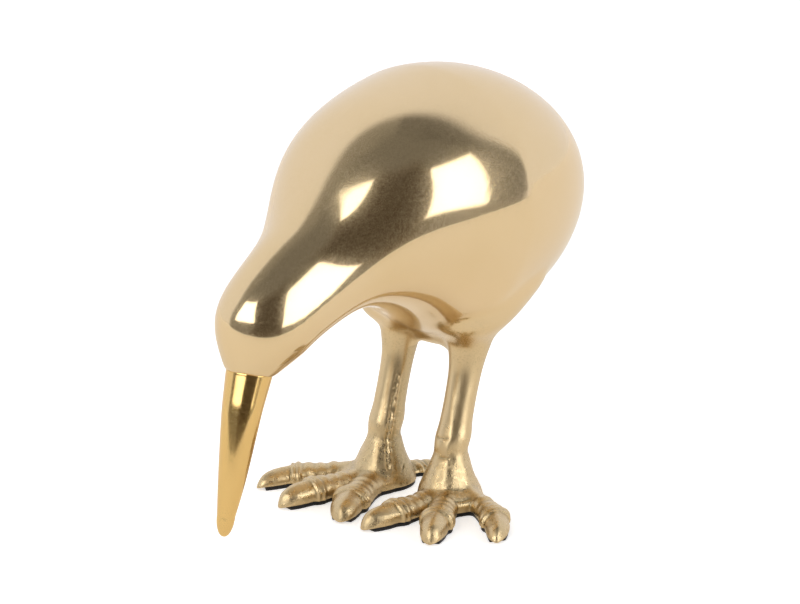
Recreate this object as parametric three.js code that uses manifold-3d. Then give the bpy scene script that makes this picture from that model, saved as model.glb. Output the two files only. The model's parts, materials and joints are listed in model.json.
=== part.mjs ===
// Kiwi bird figurine: a hollow cast brass body in two halves, a separate cast beak, and two cast legs on felt
// pads. Millimetres, +Z up. The bird looks along -Y and its left side is +X. The origin is on the table, under
// the middle of the whole figure.

import * as THREE from 'three';
import { mergeVertices } from 'three/addons/utils/BufferGeometryUtils.js';
import Module from 'manifold-3d';

const wasm = await Module();
wasm.setup();

// Body sizes

// Cross-sections of the body from its widest place to the seat of the beak. Seen from the side, each has its
// centre forward of the ankles and above the leg joints, leans down by so many degrees, rises to the back line,
// drops to the belly line, and has half its width to each side.
const BODY_STATIONS = [
  { forward: -4, above: 68, lean: 0, rise: 55, drop: 67, width: 57 },
  { forward: 24, above: 68, lean: 9, rise: 48, drop: 57, width: 52 },
  { forward: 47, above: 62, lean: 22, rise: 39, drop: 45, width: 43 },
  { forward: 67, above: 53, lean: 26, rise: 28, drop: 28, width: 32 },
  { forward: 84, above: 44, lean: 27, rise: 26, drop: 20, width: 25 },
  { forward: 101, above: 36, lean: 34, rise: 24, drop: 19, width: 22 },
  { forward: 111, above: 28, lean: 52, rise: 21, drop: 19, width: 19 },
  { forward: 115, above: 19, lean: 68, rise: 14, drop: 14, width: 14 },
  { forward: 117, above: 14, lean: 76, rise: 10, drop: 10, width: 10 },
];
const RUMP_LENGTH = 89; // from the widest section back to the end of the rump
const RUMP_SINK = 21; // how far the end of the rump lies under the middle of the widest section
const RUMP_LEAN = 15; // degrees
const RUMP_FULLNESS = 2; // 2 is an ellipse, more is fuller
const RUMP_LEAD = 0.3; // share of the rump that sets the slope of the front's first sections
const WALL = 3.5;
const CAVITY_STATIONS = 6; // the hollow runs as far as this station, and the head ahead of it is solid

// Thighs swell out of the body like trumpets. Each section lies above the leg joint, behind it and outside it.
const THIGH_STATIONS = [
  { above: 0, back: -0.4, outside: 0, radius: 10.8 },
  { above: 4, back: -1.4, outside: 0.8, radius: 13.2 },
  { above: 8, back: -2, outside: 1.6, radius: 16.8 },
  { above: 13, back: 1, outside: 2.2, radius: 20.2 },
  { above: 20, back: 7, outside: 2.6, radius: 23 },
  { above: 32, back: 13, outside: 3.5, radius: 25.5 },
  { above: 46, back: 14, outside: 0, radius: 22 },
];

// Leg sizes

const LEG_SPACING = 38; // between the axes of the two legs
const LEG_JOINT_HEIGHT = 72; // above the table, where the leg butts against the thigh
const LEG_LEAN = 11; // how far the leg joint lies behind the ankle
const FOOT_FORWARD = 1; // how far the middle of the foot lies ahead of the leg's axis
const LEG_FLATNESS = 0.92; // a leg's width over its depth from front to back

// Sections of a leg, as shares of its height and of its lean
const SHANK_STATIONS = [
  { share: 0, lean: -0.25, radius: 16 },
  { share: 0.09, lean: -0.36, radius: 14.8 },
  { share: 0.19, lean: -0.36, radius: 11.6 },
  { share: 0.3, lean: -0.28, radius: 8.6 },
  { share: 0.34, lean: -0.24, radius: 7.9 },
  { share: 0.42, lean: -0.1, radius: 8.6 },
  { share: 0.51, lean: 0.08, radius: 7.8 },
  { share: 0.7, lean: 0.46, radius: 7.6 },
  { share: 0.86, lean: 0.77, radius: 8.4 },
  { share: 1, lean: 0.97, radius: 10.8 },
];

// Foot sizes

const TOES = [
  { name: 'inner', angle: -29, length: 57.5, width: 14, height: 10, hook: -5 },
  { name: 'middle', angle: 0, length: 59.5, width: 14.5, height: 10.5, hook: 0 },
  { name: 'outer', angle: 34, length: 59, width: 14, height: 8.6, hook: -16 },
  { name: 'hind', angle: 180, length: 28, width: 12, height: 5.5, hook: 0 },
];
// Sections of a toe, as shares of its length up to its claw. The top blends the heights of the root and of the toe
// itself, and half the width is a share of the whole width.
const TOE_STATIONS = [
  { share: 0, root: 1.1, own: 0, half: 0.4 },
  { share: 0.3, root: 1, own: 0, half: 0.43 },
  { share: 0.6, root: 0, own: 0.86, half: 0.43 },
  { share: 0.85, root: 0, own: 0.92, half: 0.49 },
  { share: 1, root: 0, own: 1, half: 0.51 },
];
const TOE_ROOT_HEIGHT = 9.5; // top of a front toe where it leaves the leg
const HIND_ROOT_HEIGHT = 6;
const TOE_PLAIN_SHARE = 0.4; // of a toe up to its claw, before the first plate
const TOE_END_SHARE = 0.6; // how much of a toe's size is left where it closes round its claw
const HOOK_START = 0.4; // share of a toe's length from where it turns sideways
const CLAW_LENGTH = 17;
const HIND_CLAW_LENGTH = 9;
const CLAW_ROOT = 4; // how deep a claw starts inside its toe
const CLAW_WIDTH_SHARE = 0.41; // half a claw's width, of its toe's whole width
const CLAW_DROP = 0.4; // how far a claw's ridge lies under its toe's top
const CLAW_GABLE = 1.75; // 1 is a round claw, more gives it flat flanks and a sharper ridge
const CLAW_RIDGE_FULLNESS = 2.6;
const CLAW_EDGE_FULLNESS = 2.4;
const CLAW_EDGE_BLUNTNESS = 0.6;
const COLLAR_HEIGHT = 0.8; // the two raised rings behind a claw
const COLLAR_PITCH = 2.8;
const SCUTE_HEIGHT = 1; // the horny plates across a toe
const SCUTE_PITCH = 5.4;
const PALM_RADIUS = 15; // the flesh between the roots of the front toes
const PALM_FORWARD = 9; // from the foot's middle
const PALM_STATIONS = [
  { above: 0, share: 1 },
  { above: 3, share: 1 },
  { above: 4.4, share: 0.95 },
  { above: 6, share: 0.75 },
  { above: 7.5, share: 0.4 },
];
// Each foot turns out by so many degrees, spreads its toes and stretches them
const FEET = {
  left: { side: 1, toeOut: 27, spread: 1.08, reach: 1 },
  right: { side: -1, toeOut: 14, spread: 1, reach: 1.02 },
};

// Felt pads

const PAD_THICKNESS = 2;
const PAD_INSET = 0.6;
const PAD_TIP_INSET = 4; // how far a pad stops short of the tips of the claws

// Beak, as sections forward of and below the middle of its seat, leaning that much more than the seat (degrees)

const BEAK_STATIONS = [
  { forward: 0, down: 0, lean: 0, radius: 9.6 },
  { forward: 6.6, down: 20, lean: -1, radius: 7.7 },
  { forward: 13, down: 42, lean: 0, radius: 5.7 },
  { forward: 16.8, down: 58, lean: 1, radius: 3.8 },
];
const BEAK_TIP_LENGTH = 9;
const BEAK_TIP_BLUNTNESS = 0.8; // 1 is round, less is blunter
const BEAK_JOINT_GAP = 0.3;
const SPIGOT_RADIUS = 5;
const SPIGOT_LENGTH = 12;

// Hidden fastenings

const STUD_RADIUS = 3;
const STUD_IN_LEG = 16;
const NUT_FLATS = 10;
const NUT_HEIGHT = 5;
const WASHER_RADIUS = 6.5;
const WASHER_THICKNESS = 1.5;
const BOSS_RADIUS = 9;
const BOSS_TOP = 19; // above the leg joint
const TENON_RADIUS = 5.5;
const TENON_LENGTH = 6;
const DOWEL_RADIUS = 1.5;
const DOWEL_LENGTH = 12;
const BEAK_PIN_LENGTH = 18;
const LUG_RADIUS = 4.5;
const LUG_REACH = 8; // from the seam into each half
const SPIGOT_ROOT = 6; // how deep the spigot starts inside the beak
const HEAD_DOWEL = { back: 4, above: 7 }; // from the middle of the last section with a hollow
const FIT = 0.2; // between a pin, tenon or spigot and its bore
const END_CLEARANCE = 0.5; // past the end of a pin, tenon or spigot

// Facets

const SKIN = { sides: 34, rumpRings: 10, frontRings: 25 };
const CAVITY = { sides: 20, rumpRings: 7, frontRings: 11 };
const THIGH_SIDES = 24;
const THIGH_RINGS = 10;
const SHANK_SIDES = 20;
const SHANK_RINGS = 19;
const TOE_SIDES = 10;
const TOE_ROOT_STEPS = 3;
const SCUTE_STEPS = 3;
const CLAW_SIDES = 8;
const CLAW_RINGS = 5;
const BEAK_SIDES = 20;
const BEAK_RINGS = 11;
const BEAK_TIP_RINGS = 4;
const ROUND_SIDES = 18;
const POLE_GAP = 0.3; // share of a step by which the last ring of a rounded end stops short of its pole

// Colours

const FINISHES = {
  polishedBrass: { color: 0xe0bd7c, roughness: 0.12, metalness: 1 },
  beakBrass: { color: 0xe8c060, roughness: 0.14, metalness: 1 },
  castBrass: { color: 0xb08d57, roughness: 0.42, metalness: 1 },
  steel: { color: 0x9a9da0, roughness: 0.35, metalness: 1 },
  felt: { color: 0x17171a, roughness: 0.95, metalness: 0 },
};

// Geometry helpers

const DEGREE = Math.PI / 180;
const WORLD = 600; // a block larger than the figure
const OVERLAP = 1; // how far joined forms run into each other, and cuts run past their ends

// A solid through rings of points that all have as many points, closed flat at both ends
function loft(rings) {
  const sides = rings[0].length;
  const positions = rings.flat().flatMap((point) => point.toArray());
  const index = [];
  for (let r = 0; r + 1 < rings.length; r += 1) {
    for (let s = 0; s < sides; s += 1) {
      const a = r * sides + s;
      const b = r * sides + ((s + 1) % sides);
      index.push(a, b, b + sides, a, b + sides, a + sides);
    }
  }
  const lastRing = (rings.length - 1) * sides;
  for (const first of [0, lastRing]) {
    const ring = rings[first / sides];
    const middle = ring.reduce((sum, point) => sum.add(point), new THREE.Vector3()).divideScalar(sides);
    const centre = positions.length / 3;
    positions.push(...middle.toArray());
    for (let s = 0; s < sides; s += 1) {
      const a = first + s;
      const b = first + ((s + 1) % sides);
      index.push(...(first === 0 ? [centre, b, a] : [centre, a, b]));
    }
  }
  const geometry = new THREE.BufferGeometry();
  geometry.setAttribute('position', new THREE.Float32BufferAttribute(positions, 3));
  geometry.setIndex(index);
  return toSolid(geometry);
}

// A closed mesh as a solid that can be joined and cut, turned right side out
function toSolid(geometry) {
  geometry.deleteAttribute('normal');
  geometry.deleteAttribute('uv');
  const merged = mergeVertices(geometry, 1e-4);
  const points = Float32Array.from(merged.attributes.position.array);
  const triangles = Uint32Array.from(merged.index.array);
  const corner = (i) => new THREE.Vector3().fromArray(points, triangles[i] * 3);
  let volume = 0;
  for (let i = 0; i < triangles.length; i += 3) {
    volume += corner(i).dot(corner(i + 1).cross(corner(i + 2)));
  }
  if (volume < 0) triangles.reverse();
  return new wasm.Manifold(new wasm.Mesh({ numProp: 3, vertProperties: points, triVerts: triangles }));
}

function toGeometry(solid) {
  const mesh = solid.getMesh();
  const geometry = new THREE.BufferGeometry();
  geometry.setAttribute('position', new THREE.BufferAttribute(Float32Array.from(mesh.vertProperties), 3));
  geometry.setIndex(new THREE.BufferAttribute(Uint32Array.from(mesh.triVerts), 1));
  geometry.computeVertexNormals();
  return geometry;
}

// Sections between stations, on a smooth curve through each of their sizes
function between(stations, steps, firstStation = 0) {
  const last = stations.length - 1;
  const keys = Object.keys(stations[0]);
  const curves = keys.map((key) => new THREE.CatmullRomCurve3(
    stations.map((station) => new THREE.Vector3(station[key], 0, 0)), false, 'catmullrom'));
  return Array.from({ length: steps + 1 }, (_, i) => {
    const share = (firstStation + ((last - firstStation) * i) / steps) / last;
    return Object.fromEntries(keys.map((key, k) => [key, curves[k].getPoint(share).x]));
  });
}

// An upright cylinder from one height to another, round a point
function post(radius, x, forward, from, to, sides = ROUND_SIDES) {
  const geometry = new THREE.CylinderGeometry(radius, radius, to - from, sides);
  geometry.rotateX(Math.PI / 2);
  geometry.translate(x, -forward, (from + to) / 2);
  return toSolid(geometry);
}

// A cylinder across the bird, centred on the seam
function crossPin(radius, length, forward, height) {
  const geometry = new THREE.CylinderGeometry(radius, radius, length, ROUND_SIDES);
  geometry.rotateZ(Math.PI / 2);
  geometry.translate(0, -forward, height);
  return toSolid(geometry);
}

// Everything below a height
function under(height) {
  return toSolid(new THREE.BoxGeometry(WORLD, WORLD, WORLD).translate(0, 0, height - WORLD / 2));
}

// Body

// A ring square to the body's run: egg-shaped, with its own depth above and below
function bodyRing(station, sides, inset) {
  const lean = station.lean * DEGREE;
  const depth = (station.rise + station.drop) / 2 - inset;
  const bias = (station.rise - station.drop) / 2;
  return Array.from({ length: sides }, (_, s) => {
    const angle = (s / sides) * Math.PI * 2;
    const across = (station.width - inset) * Math.cos(angle);
    const up = (depth + bias * Math.sin(angle)) * Math.sin(angle);
    return new THREE.Vector3(
      across,
      -(station.forward + up * Math.sin(lean)),
      LEG_JOINT_HEIGHT + station.above + up * Math.cos(lean),
    );
  });
}

// A section of the rump, a half egg behind the widest section. The share runs from 0 there to 1 at its end.
function rumpStation(share, inset) {
  const widest = BODY_STATIONS[0];
  const fullness = (1 - share ** RUMP_FULLNESS) ** (1 / RUMP_FULLNESS);
  const shrink = (size) => (size - inset) * fullness + inset;
  return {
    forward: widest.forward - (RUMP_LENGTH - inset) * share,
    above: widest.above - RUMP_SINK * share ** 2,
    lean: -RUMP_LEAN * share,
    rise: shrink(widest.rise),
    drop: shrink(widest.drop),
    width: shrink(widest.width),
  };
}

// The egg, neck and head as one form, the outer skin or one inset from it
function bodyForm(inset, { sides, rumpRings, frontRings }, stationCount) {
  const stations = BODY_STATIONS.slice(0, stationCount);
  const rump = Array.from({ length: rumpRings }, (_, i) => {
    const quarter = ((rumpRings - i) / (rumpRings + POLE_GAP)) * 90 * DEGREE;
    return rumpStation(Math.sin(quarter), inset);
  });
  const lead = rumpStation(RUMP_LEAD, inset); // gives the front its slope where it meets the rump
  const front = between([lead, ...stations], frontRings, 1);
  return loft([...rump, ...front].map((station) => bodyRing(station, sides, inset)));
}

function thighForm(side) {
  const rings = between(THIGH_STATIONS, THIGH_RINGS).map(({ above, back, outside, radius }) => (
    Array.from({ length: THIGH_SIDES }, (_, s) => {
      const angle = (s / THIGH_SIDES) * Math.PI * 2;
      return new THREE.Vector3(
        side * (LEG_SPACING / 2 + outside) + radius * LEG_FLATNESS * Math.cos(angle),
        LEG_LEAN + back + radius * Math.sin(angle),
        LEG_JOINT_HEIGHT + above,
      );
    })
  ));
  return loft(rings);
}

// Where the dowels cross the seam: at the back, the end of the rump and the head
function dowelPlaces() {
  const widest = BODY_STATIONS[0];
  const head = BODY_STATIONS[CAVITY_STATIONS];
  const inward = WALL + LUG_RADIUS - OVERLAP;
  return {
    back: { forward: widest.forward, height: LEG_JOINT_HEIGHT + widest.above + widest.rise - inward },
    rump: {
      forward: widest.forward - RUMP_LENGTH + inward,
      height: LEG_JOINT_HEIGHT + widest.above - RUMP_SINK,
    },
    head: {
      forward: head.forward - HEAD_DOWEL.back,
      height: LEG_JOINT_HEIGHT + head.above + HEAD_DOWEL.above,
    },
  };
}

// A point up the beak's axis from the middle of its seat
function alongSpigot(distance) {
  const seat = BODY_STATIONS[BODY_STATIONS.length - 1];
  return {
    forward: seat.forward - distance * Math.cos(seat.lean * DEGREE),
    height: LEG_JOINT_HEIGHT + seat.above + distance * Math.sin(seat.lean * DEGREE),
  };
}

// A cylinder along the beak's own axis, from below its seat up into the head
function beakCore(radius, below, above) {
  const seat = BODY_STATIONS[BODY_STATIONS.length - 1];
  const middle = alongSpigot((above - below) / 2);
  const geometry = new THREE.CylinderGeometry(radius, radius, above + below, ROUND_SIDES);
  geometry.rotateX(seat.lean * DEGREE);
  geometry.translate(0, -middle.forward, middle.height);
  return toSolid(geometry);
}

function bodyShell() {
  const skin = bodyForm(0, SKIN, BODY_STATIONS.length);
  const cavity = bodyForm(WALL, CAVITY, CAVITY_STATIONS);
  let shell = skin.subtract(cavity);
  for (const { side } of Object.values(FEET)) shell = shell.add(thighForm(side).subtract(cavity));
  for (const { side } of Object.values(FEET)) {
    const x = side * (LEG_SPACING / 2);
    const joint = LEG_JOINT_HEIGHT;
    shell = shell.add(post(BOSS_RADIUS, x, -LEG_LEAN, joint + TENON_LENGTH, joint + BOSS_TOP));
    const mortise = joint + TENON_LENGTH + END_CLEARANCE;
    shell = shell.subtract(post(STUD_RADIUS + FIT, x, -LEG_LEAN, joint - OVERLAP, joint + BOSS_TOP + OVERLAP));
    shell = shell.subtract(post(TENON_RADIUS + FIT, x, -LEG_LEAN, joint - OVERLAP, mortise));
  }
  for (const { forward, height } of Object.values(dowelPlaces())) {
    shell = shell.add(crossPin(LUG_RADIUS, LUG_REACH * 2, forward, height));
    shell = shell.subtract(
      crossPin(DOWEL_RADIUS + FIT, DOWEL_LENGTH + 2 * END_CLEARANCE, forward, height));
  }
  const pin = alongSpigot(SPIGOT_LENGTH / 2);
  return shell
    .subtract(beakCore(SPIGOT_RADIUS + FIT, OVERLAP, SPIGOT_LENGTH + END_CLEARANCE))
    .subtract(crossPin(DOWEL_RADIUS + FIT, BEAK_PIN_LENGTH + 2 * END_CLEARANCE, pin.forward, pin.height));
}

// Beak

function beak() {
  const seat = BODY_STATIONS[BODY_STATIONS.length - 1];
  const end = BEAK_STATIONS[BEAK_STATIONS.length - 1];
  const tip = Array.from({ length: BEAK_TIP_RINGS }, (_, i) => {
    const quarter = ((i + 1) / (BEAK_TIP_RINGS + POLE_GAP)) * 90 * DEGREE;
    const along = BEAK_TIP_LENGTH * Math.sin(quarter);
    return {
      forward: end.forward + along * Math.cos((seat.lean + end.lean) * DEGREE),
      down: end.down + along * Math.sin((seat.lean + end.lean) * DEGREE),
      lean: end.lean,
      radius: end.radius * Math.cos(quarter) ** BEAK_TIP_BLUNTNESS,
    };
  });
  const rings = [...between(BEAK_STATIONS, BEAK_RINGS), ...tip].map(({ forward, down, lean, radius }) => (
    bodyRing({
      forward: seat.forward + forward + BEAK_JOINT_GAP * Math.cos(seat.lean * DEGREE),
      above: seat.above - down - BEAK_JOINT_GAP * Math.sin(seat.lean * DEGREE),
      lean: seat.lean + lean,
      rise: radius,
      drop: radius,
      width: radius,
    }, BEAK_SIDES, 0)
  ));
  const pin = alongSpigot(SPIGOT_LENGTH / 2);
  return loft(rings)
    .add(beakCore(SPIGOT_RADIUS, SPIGOT_ROOT, SPIGOT_LENGTH))
    .subtract(crossPin(DOWEL_RADIUS + FIT, BEAK_PIN_LENGTH, pin.forward, pin.height));
}

// Legs and feet

// A level ring round the leg, flatter from side to side
function shankRing({ share, lean, radius }, foot) {
  return Array.from({ length: SHANK_SIDES }, (_, s) => {
    const angle = (s / SHANK_SIDES) * Math.PI * 2;
    return new THREE.Vector3(
      foot.side * (LEG_SPACING / 2) + radius * LEG_FLATNESS * Math.cos(angle),
      LEG_LEAN * lean + radius * Math.sin(angle),
      LEG_JOINT_HEIGHT * share,
    );
  });
}

function shank(foot) {
  return loft(between(SHANK_STATIONS, SHANK_RINGS).map((section) => shankRing(section, foot)));
}

// The height of a rounded rib at a distance along a toe
function rib(distance, middle, height, reach) {
  const away = Math.abs(distance - middle) / reach;
  return away < 1 ? height * (0.5 + 0.5 * Math.cos(away * Math.PI)) : 0;
}

// The point of a curve at a value of x, which rises all along it
function curveAt(curve, x) {
  let low = 0;
  let high = 1;
  for (let i = 0; i < 24; i += 1) {
    const middle = (low + high) / 2;
    if (curve.getPoint(middle).x < x) low = middle;
    else high = middle;
  }
  return curve.getPoint(high);
}

// Where a toe ends and its claw starts, and how long each is on this foot
function toeSizes(toe, foot) {
  const hind = toe.name === 'hind';
  const length = toe.length * foot.reach;
  const claw = hind ? HIND_CLAW_LENGTH : CLAW_LENGTH;
  return { length, claw, collar: length - claw, root: hind ? HIND_ROOT_HEIGHT : TOE_ROOT_HEIGHT };
}

// Sections of a toe's flesh by their distance from the foot's axis: its top, half its width, and half the width of
// its sole, where the collars don't show
function fleshSections(toe, foot) {
  const { collar, root } = toeSizes(toe, foot);
  const shape = new THREE.CatmullRomCurve3(TOE_STATIONS.map((station) => new THREE.Vector3(
    collar * station.share,
    root * station.root + toe.height * station.own,
    toe.width * station.half,
  )));
  const plain = collar * TOE_PLAIN_SHARE;
  const firstCollar = collar - COLLAR_PITCH * 2;
  const plates = [];
  for (let d = firstCollar - SCUTE_PITCH / 2; d > plain; d -= SCUTE_PITCH) plates.push(d);
  const steps = [];
  for (let i = 0; i < TOE_ROOT_STEPS; i += 1) steps.push((plain * i) / TOE_ROOT_STEPS);
  for (let d = plain; d < firstCollar - OVERLAP; d += SCUTE_PITCH / SCUTE_STEPS) steps.push(d);
  for (let d = firstCollar; d < collar + OVERLAP; d += COLLAR_PITCH / 2) steps.push(d);
  const sections = steps.map((distance) => {
    const point = curveAt(shape, distance);
    const collars = rib(distance, collar, COLLAR_HEIGHT, COLLAR_PITCH / 2)
      + rib(distance, collar - COLLAR_PITCH, COLLAR_HEIGHT, COLLAR_PITCH / 2);
    const scutes = plates.reduce((sum, plate) => sum + rib(distance, plate, SCUTE_HEIGHT, SCUTE_PITCH / 2), 0);
    return { distance, top: point.y + collars + scutes, half: point.z + collars, sole: point.z, gable: 1 };
  });
  const end = sections[sections.length - 1];
  sections.push({
    ...end, distance: end.distance + OVERLAP, top: end.top * TOE_END_SHARE, half: end.half * TOE_END_SHARE,
  });
  return sections;
}

// Sections of a claw, in the same way
function clawSections(toe, foot) {
  const { collar, claw } = toeSizes(toe, foot);
  const shares = Array.from({ length: CLAW_RINGS + 1 }, (_, i) => (
    Math.sin((i / (CLAW_RINGS + POLE_GAP)) * 90 * DEGREE)));
  return [-CLAW_ROOT / claw, ...shares].map((share) => {
    const along = Math.max(share, 0);
    const rise = (toe.height - CLAW_DROP - PAD_THICKNESS) * Math.sqrt(1 - along ** CLAW_RIDGE_FULLNESS);
    const half = toe.width * CLAW_WIDTH_SHARE * (1 - along ** CLAW_EDGE_FULLNESS) ** CLAW_EDGE_BLUNTNESS;
    return { distance: collar + claw * share, top: PAD_THICKNESS + rise, half, sole: half, gable: CLAW_GABLE };
  });
}

// Where a toe's middle line runs on the ground, and the direction across it there. The claw end hooks sideways.
function toePlace(toe, foot, distance) {
  const straight = toe.angle * (toe.name === 'hind' ? 1 : foot.spread) + foot.toeOut;
  const turned = Math.max(0, distance / toeSizes(toe, foot).length - HOOK_START) / (1 - HOOK_START);
  const hook = toe.hook * (turned - 0.5);
  const heading = (straight + hook) * DEGREE * foot.side;
  const out = new THREE.Vector3(Math.sin(heading), -Math.cos(heading), 0);
  const across = new THREE.Vector3(Math.cos(heading), Math.sin(heading), 0);
  const axis = new THREE.Vector3(foot.side * (LEG_SPACING / 2), -FOOT_FORWARD, 0);
  return { centre: axis.addScaledVector(out, distance), across };
}

function toeRings(toe, foot, sections, sides) {
  const bottom = -PAD_THICKNESS;
  return sections.map(({ distance, top, half, gable }) => {
    const { centre, across } = toePlace(toe, foot, distance);
    return Array.from({ length: sides }, (_, s) => {
      const angle = (s / sides) * Math.PI * 2;
      const height = (top + bottom) / 2 + ((top - bottom) / 2) * Math.sin(angle);
      const sideways = half * Math.sign(Math.cos(angle)) * Math.abs(Math.cos(angle)) ** gable;
      return centre.clone().addScaledVector(across, sideways).setZ(height);
    });
  });
}

function toeForm(toe, foot) {
  return loft(toeRings(toe, foot, fleshSections(toe, foot), TOE_SIDES))
    .add(loft(toeRings(toe, foot, clawSections(toe, foot), CLAW_SIDES)));
}

// A ring of the palm, on the foot's own heading
function palmRing(foot, radius, height) {
  const heading = foot.toeOut * DEGREE * foot.side;
  const x = foot.side * (LEG_SPACING / 2) + PALM_FORWARD * Math.sin(heading);
  const y = -FOOT_FORWARD - PALM_FORWARD * Math.cos(heading);
  return Array.from({ length: ROUND_SIDES }, (_, s) => {
    const angle = (s / ROUND_SIDES) * Math.PI * 2;
    return new THREE.Vector3(x + radius * Math.cos(angle), y + radius * Math.sin(angle), height);
  });
}

function palm(foot) {
  const rings = PALM_STATIONS.map(({ above, share }) => (
    palmRing(foot, PALM_RADIUS * share, PAD_THICKNESS + above)));
  return loft(rings);
}

function leg(foot) {
  const x = foot.side * (LEG_SPACING / 2);
  const joint = LEG_JOINT_HEIGHT;
  let casting = shank(foot).add(palm(foot));
  for (const toe of TOES) casting = casting.add(toeForm(toe, foot));
  return casting
    .subtract(under(PAD_THICKNESS))
    .add(post(TENON_RADIUS, x, -LEG_LEAN, joint - OVERLAP, joint + TENON_LENGTH))
    .subtract(post(
      STUD_RADIUS + FIT, x, -LEG_LEAN, joint - STUD_IN_LEG - END_CLEARANCE, joint + TENON_LENGTH + OVERLAP));
}

// A felt pad with the outline of the sole, cut a little inside it
function footPad(foot) {
  const bottom = -PAD_THICKNESS;
  const cutOut = (points) => toSolid(new THREE.ExtrudeGeometry(
    new THREE.Shape(points.map((point) => new THREE.Vector2(point.x, point.y))),
    { depth: PAD_THICKNESS, bevelEnabled: false },
  ));
  const lobes = TOES.flatMap((toe) => [fleshSections(toe, foot), clawSections(toe, foot)].map((sections) => {
    const left = [];
    const right = [];
    const end = toeSizes(toe, foot).length - PAD_TIP_INSET;
    for (const { distance, top, sole, gable } of sections.filter((_, i) => i % 2 === 0)) {
      const level = (PAD_THICKNESS - (top + bottom) / 2) / ((top - bottom) / 2);
      const half = Math.max(sole * Math.sqrt(1 - level ** 2) ** gable - PAD_INSET, PAD_INSET);
      const { centre, across } = toePlace(toe, foot, Math.min(distance, end));
      left.push(centre.clone().addScaledVector(across, -half));
      right.unshift(centre.clone().addScaledVector(across, half));
    }
    return cutOut([...left, ...right]);
  }));
  const heel = between(SHANK_STATIONS, SHANK_RINGS).find((section) => (
    section.share * LEG_JOINT_HEIGHT > PAD_THICKNESS));
  const heelLobe = cutOut(shankRing({ ...heel, radius: heel.radius - PAD_INSET }, foot));
  const palmLobe = cutOut(palmRing(foot, PALM_RADIUS - PAD_INSET, 0));
  return lobes.reduce((pad, lobe) => pad.add(lobe), heelLobe.add(palmLobe));
}

// Hidden fastenings

function legStud(foot) {
  const past = BOSS_TOP + WASHER_THICKNESS + NUT_HEIGHT + STUD_RADIUS / 2;
  return post(
    STUD_RADIUS, foot.side * (LEG_SPACING / 2), -LEG_LEAN,
    LEG_JOINT_HEIGHT - STUD_IN_LEG, LEG_JOINT_HEIGHT + past);
}

function legWasher(foot) {
  const x = foot.side * (LEG_SPACING / 2);
  const seat = LEG_JOINT_HEIGHT + BOSS_TOP;
  return post(WASHER_RADIUS, x, -LEG_LEAN, seat, seat + WASHER_THICKNESS)
    .subtract(post(STUD_RADIUS + FIT, x, -LEG_LEAN, seat - OVERLAP, seat + WASHER_THICKNESS + OVERLAP));
}

function legNut(foot) {
  const x = foot.side * (LEG_SPACING / 2);
  const seat = LEG_JOINT_HEIGHT + BOSS_TOP + WASHER_THICKNESS;
  return post(NUT_FLATS / Math.sqrt(3), x, -LEG_LEAN, seat, seat + NUT_HEIGHT, 6)
    .subtract(post(STUD_RADIUS + FIT, x, -LEG_LEAN, seat - OVERLAP, seat + NUT_HEIGHT + OVERLAP));
}

// Assembly

const figure = new THREE.Group();
const standing = new THREE.Group();
figure.add(standing);

function addPart(name, solid, finish) {
  const mesh = new THREE.Mesh(toGeometry(solid), new THREE.MeshStandardMaterial(finish));
  mesh.name = name;
  standing.add(mesh);
}

function halfBlock(side) {
  return toSolid(new THREE.BoxGeometry(WORLD, WORLD, WORLD).translate((side * WORLD) / 2, 0, 0));
}

const shell = bodyShell();
for (const [name, foot] of Object.entries(FEET)) {
  addPart(`body_shell_${name}`, shell.intersect(halfBlock(foot.side)), FINISHES.polishedBrass);
  addPart(`leg_${name}`, leg(foot), FINISHES.castBrass);
  addPart(`foot_pad_${name}`, footPad(foot), FINISHES.felt);
  addPart(`leg_stud_${name}`, legStud(foot), FINISHES.steel);
  addPart(`leg_washer_${name}`, legWasher(foot), FINISHES.steel);
  addPart(`leg_nut_${name}`, legNut(foot), FINISHES.steel);
}
addPart('beak', beak(), FINISHES.beakBrass);
const spigotMiddle = alongSpigot(SPIGOT_LENGTH / 2);
const beakPin = crossPin(DOWEL_RADIUS, BEAK_PIN_LENGTH, spigotMiddle.forward, spigotMiddle.height);
addPart('beak_pin', beakPin, FINISHES.steel);
for (const [name, { forward, height }] of Object.entries(dowelPlaces())) {
  addPart(`seam_dowel_${name}`, crossPin(DOWEL_RADIUS, DOWEL_LENGTH, forward, height), FINISHES.steel);
}

// The origin goes under the middle of the figure's box
const box = new THREE.Box3().setFromObject(standing);
const middle = box.getCenter(new THREE.Vector3());
standing.position.set(-middle.x, -middle.y, -box.min.z);

export default figure;
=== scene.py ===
# %% [markdown]
# # A cast brass kiwi bird
# The object is a tabletop ornament: a hollow egg-shaped body polished like a mirror, a slim beak of
# yellower brass, and two legs whose feet are left almost as they came out of the sand mould. We load the
# solid model first. Every visible piece is then made around it, in metres, and rides on its single body,
# because nothing on a bird like this moves.

import json
import math

import bmesh
import bpy
import numpy as np
from mathutils import Matrix, Vector, noise
from mathutils.bvhtree import BVHTree
from mathutils.interpolate import poly_3d_calc

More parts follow.
